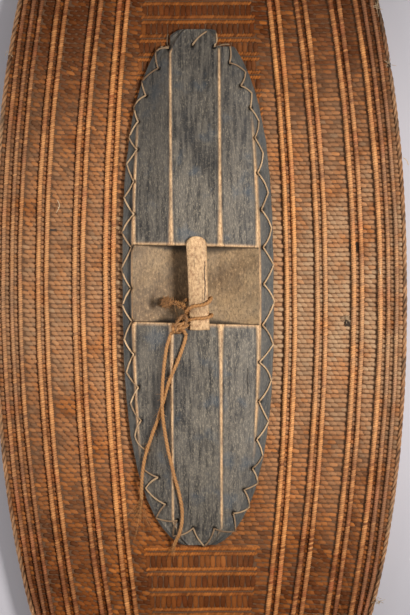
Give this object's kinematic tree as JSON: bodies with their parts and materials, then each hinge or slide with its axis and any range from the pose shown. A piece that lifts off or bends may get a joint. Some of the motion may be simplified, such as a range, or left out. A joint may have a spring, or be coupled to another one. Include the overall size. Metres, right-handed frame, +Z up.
{
  "type": "woven raffia shield",
  "caption": "Long oval wicker shield of raffia twined over cane, with wrapped ribs, a laced-on carved wooden grip board, a grip bar across its hollow and a fibre cord.",
  "frame": {"origin": "on the resting plane, under the middle of the shield", "axes": "+X across the shield, +Y along it towards its upper end, +Z up out of the grip side"},
  "size_m": [0.49, 1.272, 0.0542],
  "materials": {
    "woven_raffia": "matte twined raffia, brown with greyed dusty areas",
    "wrapped_rod": "raffia wound tightly over cane, orange brown, slightly glossy",
    "rim_plait": "plaited raffia, worn and a little frayed",
    "board_wood": "dark grey patina, pale and smooth where hands have worn it",
    "lacing_thong": "thin dry split-cane thong, pale brown",
    "fibre_cord": "two-ply bast fibre, fraying at its ends"
  },
  "bodies": {
    "root": {"woven_body": "woven_raffia", "rib_left_1": "wrapped_rod", "rib_left_2": "wrapped_rod", "rib_left_3": "wrapped_rod", "rib_left_4": "wrapped_rod", "rib_left_5": "wrapped_rod", "rib_left_6": "wrapped_rod", "rib_left_7": "wrapped_rod", "rib_left_8": "wrapped_rod", "rib_left_9": "wrapped_rod", "rib_right_1": "wrapped_rod", "rib_right_2": "wrapped_rod", "rib_right_3": "wrapped_rod", "rib_right_4": "wrapped_rod", "rib_right_5": "wrapped_rod", "rib_right_6": "wrapped_rod", "rib_right_7": "wrapped_rod", "rib_right_8": "wrapped_rod", "rib_right_9": "wrapped_rod", "rim_binding": "rim_plait", "grip_board": "board_wood", "lacing": "lacing_thong", "cord_lashing": "fibre_cord", "cord_tail_left": "fibre_cord", "cord_tail_right": "fibre_cord"}
  },
  "joints": []
}
